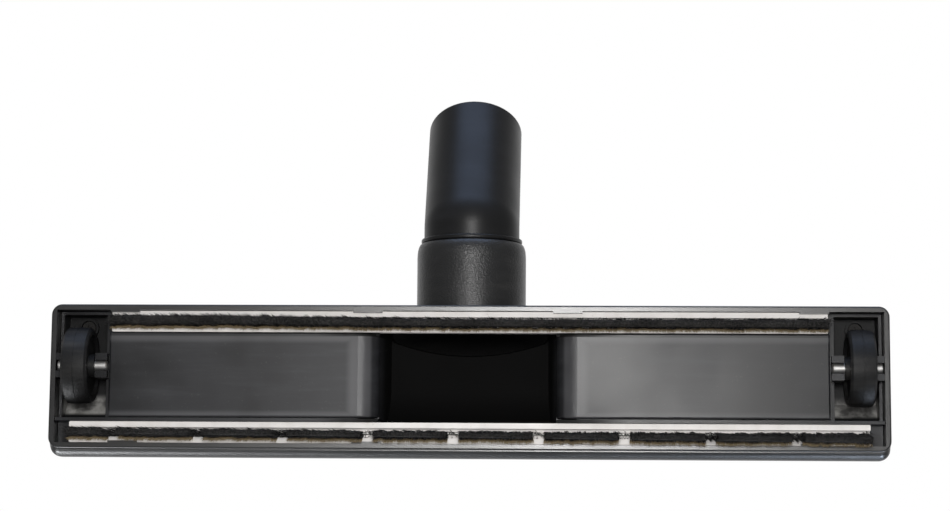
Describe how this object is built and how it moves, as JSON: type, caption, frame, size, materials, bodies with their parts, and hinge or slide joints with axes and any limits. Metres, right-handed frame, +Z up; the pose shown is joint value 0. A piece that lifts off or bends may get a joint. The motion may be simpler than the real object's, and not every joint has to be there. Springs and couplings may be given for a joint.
{
  "type": "vacuum floor brush head",
  "caption": "Long, low vacuum head for hard floors, with hair strips along both edges, small side wheels, a central suction mouth and a swivelling elbow for the wand.",
  "frame": {"origin": "middle of the overall box, on the floor that the wheels and the hair tips stand on", "axes": "+Z up from the floor, +Y out of the back towards the wand, +X along the head to the left of someone who pushes it"},
  "size_m": [0.36, 0.165, 0.1013],
  "materials": {
    "cover_plastic": "fine grain",
    "sole_plastic": "satin, lightly scuffed",
    "carrier_plastic": "off-white, plain",
    "hair": "dense black hair, brown at the roots",
    "steel": "drawn, bright",
    "wheel_plastic": "dull black",
    "elbow_plastic": "smooth, semi-gloss",
    "seal_rubber": "soft"
  },
  "bodies": {
    "head": {"upper_cover": "cover_plastic", "sole_frame": "sole_plastic", "front_strip_carrier": "carrier_plastic", "rear_strip_carrier": "carrier_plastic", "front_bristles": "hair", "rear_bristles": "hair", "front_core_wire": "steel", "rear_core_wire": "steel", "left_axle": "steel", "right_axle": "steel", "left_cover_screw": "steel", "right_cover_screw": "steel"},
    "left_wheel": {"left_wheel": "wheel_plastic"},
    "right_wheel": {"right_wheel": "wheel_plastic"},
    "elbow": {"swivel_elbow": "elbow_plastic", "elbow_seal": "seal_rubber", "elbow_snap_ring": "sole_plastic"}
  },
  "joints": [
    {"name": "left_wheel_spin", "type": "hinge", "parent": "head", "child": "left_wheel", "pos_m": [0.16735, -0.04349, 0.0165], "axis": [1, 0, 0], "continuous": true},
    {"name": "right_wheel_spin", "type": "hinge", "parent": "head", "child": "right_wheel", "pos_m": [-0.16735, -0.04349, 0.0165], "axis": [1, 0, 0], "continuous": true},
    {"name": "elbow_swivel", "type": "hinge", "parent": "head", "child": "elbow", "pos_m": [0, 0.01401, 0.051], "axis": [0, 1, 0], "continuous": true}
  ]
}
